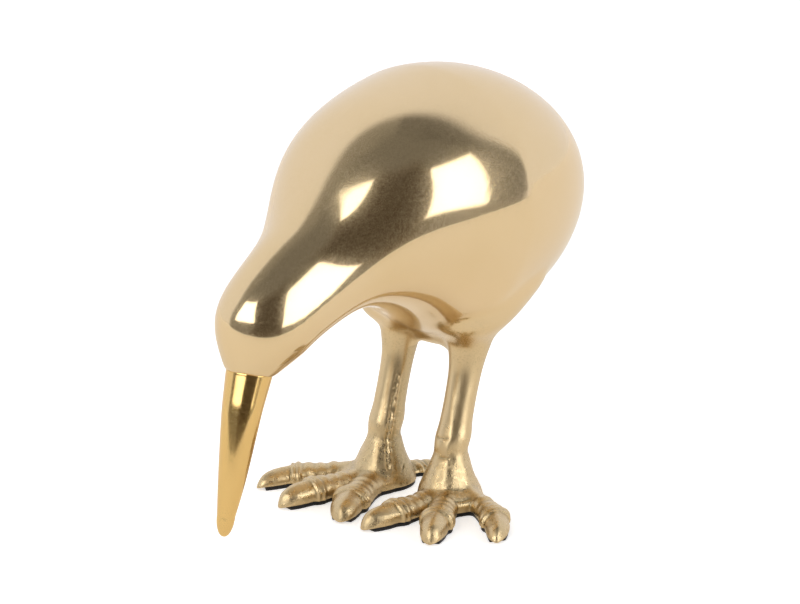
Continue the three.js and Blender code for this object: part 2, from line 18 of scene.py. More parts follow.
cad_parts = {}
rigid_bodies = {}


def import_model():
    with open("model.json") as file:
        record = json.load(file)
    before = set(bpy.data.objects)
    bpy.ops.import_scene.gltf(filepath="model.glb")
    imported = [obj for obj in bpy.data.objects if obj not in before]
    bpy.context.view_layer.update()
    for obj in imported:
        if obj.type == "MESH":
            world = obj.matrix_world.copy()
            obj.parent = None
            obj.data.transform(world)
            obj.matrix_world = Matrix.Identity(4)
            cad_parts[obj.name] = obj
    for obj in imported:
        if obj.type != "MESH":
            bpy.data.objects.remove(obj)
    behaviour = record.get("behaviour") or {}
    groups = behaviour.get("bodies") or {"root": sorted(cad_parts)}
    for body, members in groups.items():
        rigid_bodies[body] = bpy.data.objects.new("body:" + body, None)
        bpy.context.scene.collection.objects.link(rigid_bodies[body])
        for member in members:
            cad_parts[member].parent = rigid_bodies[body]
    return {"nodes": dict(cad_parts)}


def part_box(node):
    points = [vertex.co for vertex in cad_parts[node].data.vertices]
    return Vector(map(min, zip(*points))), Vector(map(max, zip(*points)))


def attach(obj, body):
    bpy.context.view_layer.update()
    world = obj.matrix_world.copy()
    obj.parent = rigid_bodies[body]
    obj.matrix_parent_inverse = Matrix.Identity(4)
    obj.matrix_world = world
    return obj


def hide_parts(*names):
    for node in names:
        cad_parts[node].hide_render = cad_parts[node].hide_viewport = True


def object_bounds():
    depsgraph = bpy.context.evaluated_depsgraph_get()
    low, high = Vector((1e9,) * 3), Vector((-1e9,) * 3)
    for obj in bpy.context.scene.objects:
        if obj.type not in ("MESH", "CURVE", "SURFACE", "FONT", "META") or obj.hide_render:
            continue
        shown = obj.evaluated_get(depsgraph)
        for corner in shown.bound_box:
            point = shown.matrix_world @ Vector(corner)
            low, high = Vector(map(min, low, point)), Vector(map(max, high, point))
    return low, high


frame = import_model()
cad_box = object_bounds()
MM = 0.001
cad_size = [round(v / MM, 1) for v in cad_box[1] - cad_box[0]]
print("solid model:", len(frame["nodes"]), "nodes, box in mm:", cad_size)

# %% [markdown]
# The solids tell us where the bird stands. The middle plane runs through the beak, and each leg hangs on a
# stud, so the studs give the two leg axes. Sizes below are in millimetres, measured from the table and from
# the middle plane.

# %% Find the bird's own axes
beak_low, beak_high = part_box("beak")
stud_low, stud_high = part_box("leg_stud_left")

middle_x = (beak_low.x + beak_high.x) / 2 / MM
leg_spacing = 2 * ((stud_low.x + stud_high.x) / 2 / MM - middle_x)
leg_top_y = (stud_low.y + stud_high.y) / 2 / MM
pad_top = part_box("foot_pad_left")[1].z / MM

LEG_LEAN = 11.0  # the top of a leg lies this far behind its ankle
LEG_TOP = 72.0  # height of the joint between leg and thigh
ankle_y = leg_top_y - LEG_LEAN
print("middle x %.2f, leg spacing %.1f, ankles at y %.2f, pads %.1f thick"
      % (middle_x, leg_spacing, ankle_y, pad_top))


def place(x, forward, height):
    """A point from bird measurements to the model's own frame, still in millimetres."""
    return np.stack(np.broadcast_arrays(middle_x + x, ankle_y - forward, height), -1)


# %% [markdown]
# ## The camera
# The photograph looks at the bird's front left, a little from above, from about 1.3 m away: near enough
# that the beak looks larger than the rump. A long lens keeps that perspective mild.

# %% Camera
ROUND = math.radians(52)  # how far the camera stands round from the bird's left side towards its front
RAISED = math.radians(17)
DISTANCE = 1300
AIM_HEIGHT, AIM_LEFT = 88.6, 9.5  # the picture's middle: its height, and how far left of the ankles it lies
LENS, SENSOR = 131.6, 36
NEAREST, FARTHEST = 0.05, 50  # metres
to_right = Vector((math.sin(ROUND), math.cos(ROUND), 0))
to_camera = Vector((math.cos(ROUND) * math.cos(RAISED), -math.sin(ROUND) * math.cos(RAISED),
                    math.sin(RAISED)))
ahead = Vector((to_camera.x, to_camera.y, 0)).normalized()  # from the bird to the camera, on the level
aim = Vector((middle_x, ankle_y, AIM_HEIGHT)) - AIM_LEFT * to_right


def put(name, data):
    """A new object in the scene."""
    thing = bpy.data.objects.new(name, data)
    bpy.context.scene.collection.objects.link(thing)
    return thing


camera_data = bpy.data.cameras.new("camera")
camera_data.sensor_width = SENSOR
camera_data.lens = LENS
camera_data.clip_start = NEAREST
camera_data.clip_end = FARTHEST
camera = put("camera", camera_data)
camera_axes = Matrix((to_right, to_camera.cross(to_right), to_camera)).transposed()
camera.matrix_world = Matrix.Translation((aim + DISTANCE * to_camera) * MM) @ camera_axes.to_4x4()
bpy.context.scene.camera = camera
print("camera at", [round(v, 3) for v in camera.location], "m")

# %% [markdown]
# ## Tools for skins
# A casting has no corners that were not filed away, so its form is a smooth skin through a few
# cross-sections. We need four tools: a curve that bends smoothly through the sections' sizes, a skin over
# rings of points, a way to melt overlapping skins into one, and a way to rub the result smooth without
# shrinking it.


# %% A smooth run through stations
def smooth_run(stations, samples, knots=None):
    """Values between rows of stations, on a curve whose bend never jumps (a natural cubic spline)."""
    rows = np.asarray(stations, float)
    n = len(rows)
    x = np.arange(n, dtype=float) if knots is None else np.asarray(knots, float)
    h = np.diff(x)
    system = np.eye(n)
    right = np.zeros_like(rows)
    for i in range(1, n - 1):
        system[i, i - 1:i + 2] = h[i - 1], 2 * (h[i - 1] + h[i]), h[i]
        right[i] = 6 * ((rows[i + 1] - rows[i]) / h[i] - (rows[i] - rows[i - 1]) / h[i - 1])
    bend = np.linalg.solve(system, right)
    s = np.asarray(samples, float)
    k = np.clip(np.searchsorted(x, s, "right") - 1, 0, n - 2)
    a, b, w = (x[k + 1] - s)[:, None], (s - x[k])[:, None], h[k][:, None]
    return ((bend[k] * a ** 3 + bend[k + 1] * b ** 3) / (6 * w)
            + (rows[k] / w - bend[k] * w / 6) * a + (rows[k + 1] / w - bend[k + 1] * w / 6) * b)


# %% A skin over rings
def full_turn(sides):
    """The angle of each side of a ring."""
    return np.linspace(0, 2 * math.pi, sides, endpoint=False)


def skin_over(rings):
    """Points and faces of a closed skin over rings that all have as many points, with both ends closed."""
    rings = np.asarray(rings, float)
    count, sides = rings.shape[:2]
    points = np.vstack([rings.reshape(-1, 3), rings[0].mean(0), rings[-1].mean(0)])
    first, last = count * sides, count * sides + 1
    side = np.arange(sides)
    after = (side + 1) % sides
    faces = [(r * sides + s, r * sides + t, (r + 1) * sides + t, (r + 1) * sides + s)
             for r in range(count - 1) for s, t in zip(side, after)]
    faces += [(first, t, s) for s, t in zip(side, after)]
    top = (count - 1) * sides
    faces += [(last, top + s, top + t) for s, t in zip(side, after)]
    return points, faces


def new_mesh(name, points, faces):
    mesh = bpy.data.meshes.new(name)
    mesh.from_pydata((np.asarray(points) * MM).tolist(), [], [tuple(int(i) for i in f) for f in faces])
    mesh.update()
    return mesh


# %% Melt overlapping skins into one
def melt(name, skins, grain):
    """One closed mesh round all the skins, made of even squares about grain millimetres wide."""
    points, faces, start = [], [], 0
    for skin_points, skin_faces in skins:
        points.append(skin_points)
        faces += [tuple(i + start for i in f) for f in skin_faces]
        start += len(skin_points)
    rough = put(name + "_rough", new_mesh(name + "_rough", np.vstack(points), faces))
    remesh = rough.modifiers.new("melt", "REMESH")
    remesh.mode = "VOXEL"
    remesh.voxel_size = grain * MM
    remesh.use_smooth_shade = True
    evaluated = rough.evaluated_get(bpy.context.evaluated_depsgraph_get())
    mesh = bpy.data.meshes.new_from_object(evaluated)
    mesh.name = name
    bpy.data.objects.remove(rough)
    return mesh


def read(items, what, columns, kind=np.float32):
    """A value that all points, edges or corners of a mesh have, as rows of numbers."""
    flat = np.empty(len(items) * columns, kind)
    items.foreach_get(what, flat)
    return flat.reshape(-1, columns)


def get_points(mesh):
    return read(mesh.vertices, "co", 3).astype(float) / MM


def set_points(mesh, points):
    mesh.vertices.foreach_set("co", (points * MM).astype(np.float32).ravel())
    mesh.update()


# %% Rub a skin smooth
def neighbour_mean(mesh):
    """Gives a function that averages values at a mesh's points over the neighbours of each point."""
    a, b = read(mesh.edges, "vertices", 2, np.int32).T
    n = len(mesh.vertices)
    degree = np.bincount(a, minlength=n) + np.bincount(b, minlength=n)

    def mean(values):
        columns = values.reshape(n, -1).T
        total = np.stack([np.bincount(a, c[b], n) + np.bincount(b, c[a], n) for c in columns], 1)
        return (total / degree[:, None]).reshape(values.shape)

    return mean


def rub(mesh, rounds, weight=1.0, pull=0.5, push=0.51):
    """Moves points towards the middle of their neighbours and almost back: bumps go, and the size stays."""
    mean = neighbour_mean(mesh)
    points = get_points(mesh)
    weight = np.broadcast_to(np.asarray(weight, float), len(points))[:, None]
    for _ in range(rounds):
        for share in (pull, -push):
            points = points + weight * share * (mean(points) - points)
    set_points(mesh, points)


print("skin tools ready")

# %% [markdown]
# ## The body
# The body, neck and head are one hollow casting. A founder would make its pattern by turning an egg and
# dressing a neck onto it with wax, then polish the brass in ever finer steps. We could model it with a
# subdivision cage, but a row of egg-shaped sections is closer to how the pattern is measured: each has a
# place, a tilt, a height above and below its centre, and a half width.

# %% Sections of the body
# forward of the ankles, above the leg joint, lean in degrees, rise, drop, half width
BODY = np.array([
    (-4, 68, 0, 55, 67, 57),
    (24, 68, 9, 48, 57, 52),
    (47, 62, 22, 39, 45, 43),
    (67, 53, 26, 28, 28, 32),
    (84, 44, 27, 26, 20, 25),
    (101, 36, 34, 24, 19, 22),
    (111, 28, 52, 21, 19, 19),
    (115, 19, 68, 14, 14, 14),
    (117, 14, 76, 10, 10, 10),
], float)
RUMP_LENGTH, RUMP_SINK, RUMP_LEAN, RUMP_FULLNESS = 89, 21, 15, 2.0


def rump_section(share):
    """The half egg behind the widest section. share runs from 0 there to 1 at the very end."""
    forward, above, _, rise, drop, width = BODY[0]
    full = (1 - share ** RUMP_FULLNESS) ** (1 / RUMP_FULLNESS)
    return np.array([forward - RUMP_LENGTH * share, above - RUMP_SINK * share ** 2, -RUMP_LEAN * share,
                     rise * full, drop * full, width * full])


def egg_ring(section, sides):
    """An egg-shaped ring, square to the body's run."""
    forward, above, lean, rise, drop, width = section
    turn = full_turn(sides)
    swell = np.sin(turn)
    up = ((rise + drop) / 2 + (rise - drop) / 2 * swell) * swell
    lean = math.radians(lean)
    return place(width * np.cos(turn), forward + up * math.sin(lean), LEG_TOP + above + up * math.cos(lean))


# the run starts on a few sections of the rump, so that the two join smoothly
rump = [rump_section(math.sin(q)) for q in np.linspace(math.pi / 2 * 0.995, 0.02, 60)]
lead = [rump_section(s) for s in (0.6, 0.45, 0.3, 0.15)]
front = smooth_run(np.vstack([lead, BODY]), np.linspace(len(lead), len(lead) + len(BODY) - 1, 150))
body_skin = skin_over([egg_ring(section, 160) for section in [*rump, *front]])
print("body sections:", len(rump) + len(front))

# %% [markdown]
# The thighs flow out of the belly like trumpets and end at the leg joints. Their sections are level rings,
# each with a height above the joint, an offset backwards and outwards, and a radius.

# %% Thighs and shanks
# above the leg joint, behind it, outside it, radius
THIGH = np.array([
    (0, -0.4, 0, 10.8),
    (4, -1.4, 0.8, 13.2),
    (8, -2, 1.6, 16.8),
    (13, 1, 2.2, 20.2),
    (20, 7, 2.6, 23),
    (32, 13, 3.5, 25.5),
    (46, 14, 0, 22),
], float)
# share of the leg's height, share of its lean, radius
SHANK = np.array([
    (0, -0.25, 16),
    (0.09, -0.36, 14.8),
    (0.19, -0.36, 11.6),
    (0.3, -0.28, 8.6),
    (0.34, -0.24, 7.9),
    (0.42, -0.1, 8.6),
    (0.51, 0.08, 7.8),
    (0.7, 0.46, 7.6),
    (0.86, 0.77, 8.4),
    (1, 0.97, 10.8),
], float)
FLATNESS = 0.92  # a leg's width, as a share of its depth from front to back


def hill(x, middle, width):
    """1 at the middle, and next to 0 two widths away."""
    return np.exp(-((x - middle) / width) ** 2)


def ramp(x, start, end):
    """0 before the start, 1 after the end, and a smooth rise between them."""
    t = np.clip((x - start) / (end - start), 0, 1)
    return t * t * (3 - 2 * t)


def rise_and_fall(x, start, full, falling, end):
    """1 between full and falling, and 0 before the start and after the end."""
    return ramp(x, start, full) * (1 - ramp(x, falling, end))


def leg_ring(side, outside, back, height, radius, sides=72):
    turn = full_turn(sides)
    return place(side * (leg_spacing / 2 + outside) + radius * FLATNESS * np.cos(turn),
                 -(back + radius * np.sin(turn)), height)


def thigh(side):
    rows = smooth_run(THIGH, np.linspace(0, len(THIGH) - 1, 60))
    return skin_over([leg_ring(side, outside, LEG_LEAN + back, LEG_TOP + above, radius)
                      for above, back, outside, radius in rows])


def shank(side):
    rows = smooth_run(SHANK, np.linspace(0, len(SHANK) - 1, 120))
    return skin_over([leg_ring(side, 0, LEG_LEAN * lean, LEG_TOP * share, radius)
                      for share, lean, radius in rows])


WEB_REACH = 0.95  # share of the legs' spacing that it spans
WEB_BELOW, WEB_SINK = 6.5, 6  # its lower edge below the leg joints, and how much lower still at the left leg
WEB_BACK, WEB_DEPTH, WEB_HEIGHT = 3, 16, 20  # behind the leg joints, front to back, bottom to top


def web(sides=48):
    """A bridge of wax between the two thighs, whose lower edge sinks towards the left one."""
    turn = full_turn(sides)
    rings = []
    for share in np.linspace(-WEB_REACH, WEB_REACH, 30):
        bottom = LEG_TOP - WEB_BELOW - WEB_SINK * float(ramp(share, 0.0, WEB_REACH))
        back = LEG_LEAN + WEB_BACK + WEB_DEPTH / 2 * np.cos(turn)
        rings.append(place(np.full(sides, share * leg_spacing / 2), -back,
                           bottom + (1 + np.sin(turn)) * WEB_HEIGHT / 2))
    return skin_over(rings)


CORE_GRAIN = 1.2  # width of the core's squares
core = melt("core", [body_skin, thigh(1), thigh(-1), shank(1), shank(-1), web()], CORE_GRAIN)
print("core:", len(core.vertices), "points")

# %% [markdown]
# Where a thigh meets the belly the pattern maker filled the crease with a wax fillet. We get that fillet by
# rubbing only the points near the crease for many rounds, and the whole skin for a few. Between the legs it
# reaches lower, and lowest on the left leg.

# %% Rub the core smooth
points = get_points(core)
height = points[:, 2] - LEG_TOP
from_middle = points[:, 0] - middle_x
between_legs = np.clip(1.8 - np.abs(from_middle) / 12, 0, 1)
left_inside = between_legs * (from_middle > 0)
above_fillet = height - 2 + 8 * between_legs + 7 * left_inside
near_crease = np.clip(above_fillet / 6, 0, 1) * np.clip((44 - height) / 14, 0, 1)
near_crease *= np.clip(1.6 - np.hypot(from_middle, points[:, 1] - leg_top_y) / 50, 0, 1)
rub(core, 22, near_crease, push=0.0)
rub(core, 16, near_crease * left_inside, push=0.0)
rub(core, 40)
print("rubbed near the crease:", int((near_crease > 0).sum()), "points")

# %% [markdown]
# The body is cut off the core a little below the joint, so that the whole fillet is its own, and each leg
# gets a much finer skin. A cut through a curved skin shows as a line in a mirror, unless both sides keep
# the shading of the uncut skin. So we keep the core as a guide: the legs take its surface near the cut, and
# both sides take its normals.

# %% The core as a guide
SEAM = 64.0  # height of the cut between body and legs
core_skin = BVHTree.FromPolygons([v.co for v in core.vertices], [tuple(p.vertices) for p in core.polygons])


def core_normal(spot, face):
    """The core's shading normal at a spot on one of its faces."""
    corners = [core.vertices[i] for i in core.polygons[face].vertices]
    shares = poly_3d_calc([corner.co for corner in corners], spot)
    return sum((share * corner.normal for share, corner in zip(shares, corners)), Vector()).normalized()


def get_normals(mesh):
    return read(mesh.vertex_normals, "vector", 3).astype(float)


def keep_side(mesh, height, above, fill):
    """Cuts a mesh at a height and keeps what is above it, or below it, and may close it with a flat face."""
    shape = bmesh.new()
    shape.from_mesh(mesh)
    bmesh.ops.bisect_plane(shape, geom=[*shape.verts, *shape.edges, *shape.faces],
                           plane_co=(0, 0, height * MM), plane_no=(0, 0, 1),
                           clear_inner=above, clear_outer=not above)
    for face in shape.faces:
        face.smooth = True
    if fill:
        rim = [e for e in shape.edges if e.is_boundary and abs(e.verts[0].co.z - height * MM) < 1e-6]
        closed = bmesh.ops.triangle_fill(shape, edges=rim, use_beauty=True)
        bmesh.ops.recalc_face_normals(shape, faces=shape.faces)
        for face in [g for g in closed["geom"] if isinstance(g, bmesh.types.BMFace)]:
            face.smooth = False
            for edge in face.edges:
                edge.smooth = False
    shape.to_mesh(mesh)
    shape.free()


# %% Cut the body off the core
body_mesh = core.copy()
body_mesh.name = "body"
keep_side(body_mesh, SEAM, above=True, fill=False)
normals = get_normals(body_mesh)
for i in np.flatnonzero(get_points(body_mesh)[:, 2] < SEAM + 0.01):
    spot, _, face, _ = core_skin.find_nearest(body_mesh.vertices[i].co)
    normals[i] = core_normal(spot, face)
body_mesh.normals_split_custom_set_from_vertices(normals.tolist())
body = put("body", body_mesh)
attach(body, "root")
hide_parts("body_shell_left", "body_shell_right")
print("body:", len(body_mesh.vertices), "points")

# %% [markdown]
# ## The beak
# The beak is a slim cone with a blunt tip, turned and polished apart from the body and pinned into the
# head.

# %% Beak
# forward of and below the middle of the seat, to the bird's left of it, lean more than the seat's, radius
BEAK = np.array([
    (0, 0, 0, 0, 9.85),
    (4.3, 10, 0.7, -3, 8.9),
    (7.8, 20, 1.2, -2, 8.0),
    (13.3, 42, 1.3, 0, 5.9),
    (16.7, 58, 0.6, 2, 3.9),
], float)
BEAK_TIP, BEAK_BLUNTNESS = 9, 0.92
BEAK_SEATED = 2  # the beak reaches this far into the head
seat = BODY[-1]
seat_lean = math.radians(seat[2])
run = smooth_run(BEAK, np.linspace(0, len(BEAK) - 1, 60))
end = BEAK[-1]
tip_lean = math.radians(seat[2] + end[3])
tip = []
for q in np.linspace(0, math.pi / 2 * 0.997, 22)[1:]:
    along = BEAK_TIP * math.sin(q)
    tip.append((end[0] + along * math.cos(tip_lean), end[1] + along * math.sin(tip_lean), end[2], end[3],
                end[4] * math.cos(q) ** BEAK_BLUNTNESS))
beak_rings = []
for forward, down, left, lean, radius in [*run, *tip]:
    ring = egg_ring((seat[0] + forward, seat[1] - down, seat[2] + lean, radius, radius, radius), 64)
    beak_rings.append(ring + np.array([left, 0, 0]))
into_head = np.array([0, math.cos(seat_lean), math.sin(seat_lean)])
beak_rings.insert(0, beak_rings[0] + BEAK_SEATED * into_head)
beak_points, beak_faces = skin_over(beak_rings)
beak = put("beak_skin", new_mesh("beak_skin", beak_points, beak_faces))
beak.data.polygons.foreach_set("use_smooth", [True] * len(beak.data.polygons))
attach(beak, "root")
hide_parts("beak")
print("beak:", len(beak_points), "points")

# %% [markdown]
# ## The feet
# Each foot is one piece with its leg. Toes have a core like a bent sausage, horny plates across the top,
# two raised rings behind the claw, and a claw with a ridge along its top.

# %% Toes
# name, angle, length, width, height, hook
TOES = [
    ("inner", -29, 57.5, 14, 10, -5),
    ("middle", 0, 59.5, 14.5, 10.5, 0),
    ("outer", 34, 59, 14, 8.6, -16),
    ("hind", 180, 28, 12, 5.5, 0),
]
TOE_ROOT, HIND_ROOT = 9.5, 6  # height where a toe leaves the ankle
CLAW, HIND_CLAW = 17, 9  # length
CLAW_GABLE = 1.45
CLAW_SOLE = 2  # height at which a claw's ridge ends, on the felt
FOOT_FORWARD = 1  # the toes meet this far in front of the ankle
UNDER = -2  # toes and claws reach down to here until the sole is cut
# side, degrees turned out, spread of the toes, length of the toes, width of the inner toe
FEET = {"left": (1, 27, 1.08, 1, 1.02), "right": (-1, 14, 1, 1.02, 1.2)}


def bump(d, middle, reach):
    away = np.clip(np.abs(d - middle) / reach, 0, 1)
    return 0.5 + 0.5 * np.cos(away * math.pi)


class Toe:
    """Where one toe runs on the ground, and the skins of its flesh and of its claw."""

    def __init__(self, foot, name, angle, length, width, top, hook):
        self.side, toe_out, spread, reach, inner = foot
        self.hind = name == "hind"
        self.length, self.top, self.hook = length * reach, top, hook
        self.width = width * (inner if name == "inner" else 1)
        self.angle = angle * (1 if self.hind else spread) + toe_out
        self.claw = HIND_CLAW if self.hind else CLAW
        self.collar = self.length - self.claw
        self.root = HIND_ROOT if self.hind else TOE_ROOT

    def rings(self, d, half, bottom, top, gable=1.0, sides=56):
        """Rings across the toe at distances d. A gable over 1 gives flat flanks and a ridge."""
        turned = np.clip(d / self.length - 0.4, 0, 1) / 0.6
        heading = np.radians(self.angle + self.hook * (turned - 0.5))[:, None] * self.side
        turn = full_turn(sides)[None]
        across = half[:, None] * np.sign(np.cos(turn)) * np.abs(np.cos(turn)) ** gable
        z = (top + bottom)[:, None] / 2 + (top - bottom)[:, None] / 2 * np.sin(turn)
        x = self.side * leg_spacing / 2 + np.sin(heading) * d[:, None] + np.cos(heading) * across
        forward = FOOT_FORWARD + np.cos(heading) * d[:, None] - np.sin(heading) * across
        return place(x, forward, z)

    def flesh(self):
        """The toe up to its claw, with the plates on top and two collars behind the claw."""
        c, w, h = self.collar, self.width, self.top
        d = np.arange(0, c + 1.2, 0.4)
        rows = [(self.root * 1.1, w * 0.4), (self.root, w * 0.43), (h * 0.86, w * 0.43),
                (h * 0.92, w * 0.49), (h, w * 0.51)]
        top, half = smooth_run(rows, d, [0, 0.3 * c, 0.6 * c, 0.85 * c, c]).T
        collars = 0.6 * bump(d, c - 0.2, 1.0) + 1.0 * bump(d, c - 3, 1.7)
        plates = sum(tall * bump(d, c - 7.6 - 5.4 * k, 2.9) for k, tall in enumerate((0.75, 0.6, 0.8)))
        shut = np.sqrt(np.clip(1 - (np.clip(d - c + 0.6, 0, None) / 2.2) ** 2, 0.05, 1))
        top = UNDER + (top + collars + plates - UNDER) * shut
        return skin_over(self.rings(d, (half + collars) * shut, np.full_like(d, UNDER), top))

    def horn(self):
        """The claw: a ridge along the top, flat flanks, and a blunt tip."""
        u = np.concatenate([np.arange(-0.25, 0.93, 0.03), [0.95, 0.97, 0.985, 0.996]])
        along = np.clip(u, 0, 1)
        high = (self.top - 2.4) * np.sqrt(1 - along ** 2.9)
        wide = self.width * 0.43 * (1 - along ** 2.8) ** 0.55
        d = self.collar + u * self.claw
        return skin_over(self.rings(d, wide, np.full_like(d, UNDER), CLAW_SOLE + high, CLAW_GABLE))

    def tip(self):
        """Where the claw ends, and the direction in which it points there."""
        heading = math.radians(self.angle + self.hook / 2) * self.side
        way = np.array([math.sin(heading), -math.cos(heading)])
        end = self.rings(np.array([self.length]), np.zeros(1), np.zeros(1), np.zeros(1))[0, 0, :2]
        return end, way

    def from_tip(self, points):
        """How far points lie ahead of the claw's end, and beside its line."""
        end, way = self.tip()
        away = points[:, :2] - end
        return away @ way, np.abs(away @ np.array([-way[1], way[0]]))


# %% The palm between the toes
PALM_FORWARD = 9
# height, radius
PALM = [(0, 15), (5, 15), (6.4, 14.2), (8, 11.2), (9.5, 6)]


def palm_middle(side, toe_out):
    """The palm's middle: how far it lies left of the bird's middle plane, and forward of the ankles."""
    heading = math.radians(toe_out) * side
    return (side * leg_spacing / 2 + PALM_FORWARD * math.sin(heading),
            FOOT_FORWARD + PALM_FORWARD * math.cos(heading))


def palm(side, toe_out):
    """The flesh between the roots of the front toes, with a steep front edge."""
    turn = full_turn(72)
    x, forward = palm_middle(side, toe_out)
    return skin_over([place(x + r * np.cos(turn), forward + r * np.sin(turn), z) for z, r in PALM])


print("toes on each foot:", len(TOES))

# %% [markdown]
# Sand casting leaves its own marks. The two halves of the mould met along a line on the outside of the
# right leg, and the fin of metal that squeezed into that gap was filed off only roughly. The left leg has
# two folds in front of the ankle. Tendons fan out to the toes, the skin between them ends in a lip, and the
# whole surface is a little lumpy.

# %% Marks of the mould
SEAM_ROUND = 20  # where the mould's halves met on the right leg, in degrees round from the camera


def lumps(points, size, seed):
    """Smooth noise between -1 and 1 whose bumps are about size millimetres wide."""
    shift = Vector((seed * 7.3, seed * 3.1, seed * 5.7))
    return np.array([noise.noise(Vector(p / size) + shift) for p in points])


def leg_axis(side, z):
    """The middle of a leg at a height, or at each of many."""
    back = np.interp(z / LEG_TOP, SHANK[:, 0], SHANK[:, 1]) * LEG_LEAN
    return place(side * leg_spacing / 2, -back, z)


def round_leg(points, side):
    """Degrees to the right of the camera's direction, and the distance from the leg's leaning axis."""
    away = (points - leg_axis(side, points[:, 2]))[:, :2]
    turn = np.arctan2(away @ np.array(to_right[:2]), away @ np.array(ahead[:2]))
    return np.degrees(turn), np.hypot(*away.T)


def mould_marks(points, side, toes, palm_spot):
    """How far each point of a leg moves out along its normal."""
    z = points[:, 2]
    turn, radius = round_leg(points, side)
    low = 1 - 0.7 * ramp(z, 18, 42)
    out = low * (0.14 * lumps(points, 5, 1 + side) + 0.07 * lumps(points, 1.9, 5))
    outside = side * (points[:, 0] - middle_x - side * leg_spacing / 2)
    heading = np.degrees(np.arctan2(outside, ankle_y - points[:, 1]))
    skirt = rise_and_fall(z, 4, 7, 15, 30) * ramp(radius, 8, 10)
    for toe in toes:  # tendons
        gap = (heading - toe.angle + 180) % 360 - 180
        out += skirt * 0.35 * hill(gap, 0, 11)
    if side < 0:  # the mould's line, and a scar below it
        arc = np.radians(turn - SEAM_ROUND) * radius
        ragged = np.clip(0.6 + lumps(points, 1.6, 9), 0.1, 1.6)
        along = rise_and_fall(z, 7, 12, 66, 74)
        out += along * ragged * (0.6 * hill(arc, 0, 0.7) - 0.45 * hill(arc, -1.7, 0.8))
        slant = (z - 10) - 0.9 * np.radians(turn - 52) * radius
        out -= 0.5 * hill(slant, 0, 0.45) * hill(z, 10, 2.6) * hill(turn, 52, 9)
    else:  # the lip at the palm, two folds with a bulge between them, and a ridge down the front
        from_palm = np.hypot(*(points[:, :2] - palm_spot).T)
        out -= 0.6 * hill(z, 7.0, 0.5) * hill(from_palm, 13.6, 1.5) * hill(heading, 46, 14)
        out -= (0.45 * hill(z, 31 + 0.02 * (turn + 40), 0.7)
                * ramp(turn, -80, -60) * (1 - ramp(turn, -24, -14)))
        out -= 0.35 * hill(z, 22.5, 0.6) * ramp(turn, -50, -36) * (1 - ramp(turn, -8, -2))
        out += 0.4 * hill(z, 26.8, 3.4) * ramp(turn, -100, -60) * (1 - ramp(turn, -20, 0))
        spine = np.radians(turn) * radius - (-3 + 1.6 * np.sin((z - 12) / 9))
        out += 0.22 * hill(spine, 0, 1.6) * ramp(z, 8, 14) * (1 - ramp(z, 40, 60))
    return out


# %% Hollows and level sections of a skin
DEEP = 0.05  # a point this far below the middle of its neighbours lies in a crease of about 1 mm radius


def hollows(mesh):
    """How deep each point lies among its neighbours: above 0 in creases, and below 0 on ridges."""
    mean = neighbour_mean(mesh)
    points = get_points(mesh)
    depth = ((mean(points) - points) * get_normals(mesh)).sum(1) / DEEP
    for _ in range(4):
        depth = 0.5 * depth + 0.5 * mean(depth)
    return np.clip(depth, -1, 1)


def section(mesh, height):
    """The longest line in which a mesh crosses a height, as points in walking order."""
    shape = bmesh.new()
    shape.from_mesh(mesh)
    cut = bmesh.ops.bisect_plane(shape, geom=[*shape.verts, *shape.edges, *shape.faces],
                                 plane_co=(0, 0, height * MM), plane_no=(0, 0, 1))
    beside = {}
    for edge in [g for g in cut["geom_cut"] if isinstance(g, bmesh.types.BMEdge)]:
        a, b = edge.verts
        beside.setdefault(a, []).append(b)
        beside.setdefault(b, []).append(a)
    lines, left = [], dict.fromkeys(beside)
    while left:
        point, line = next(iter(left)), []
        while point in left:
            del left[point]
            line.append(tuple(point.co[:2]))
            point = next((p for p in beside[point] if p in left), None)
        lines.append(line)
    shape.free()
    return np.array(max(lines, key=len)) / MM


# %% Cast the two legs
GRAIN = 0.5  # width of the fine skin's squares
BLEND = 12  # over this length below the cut, a leg's skin turns into the core's
DROOP, DROOP_LENGTH = 1.1, 5.0  # the claws' ends bend down over the felt


def take_core_surface(mesh, side):
    """Moves a leg's top onto the core's surface, level by level, and returns the normals it has there."""
    points, normals = get_points(mesh), get_normals(mesh)
    for i in np.flatnonzero(points[:, 2] > SEAM - BLEND):
        z = points[i, 2]
        axis = Vector(leg_axis(side, z))
        spot, _, face, _ = core_skin.ray_cast(axis * MM, (Vector(points[i]) - axis).normalized())
        share = float(ramp(z, SEAM - BLEND, SEAM - 3))
        if spot is not None:
            points[i] += share * (np.array(spot) / MM - points[i])
            normals[i] += share * (np.array(core_normal(spot, face)) - normals[i])
    set_points(mesh, points)
    return normals


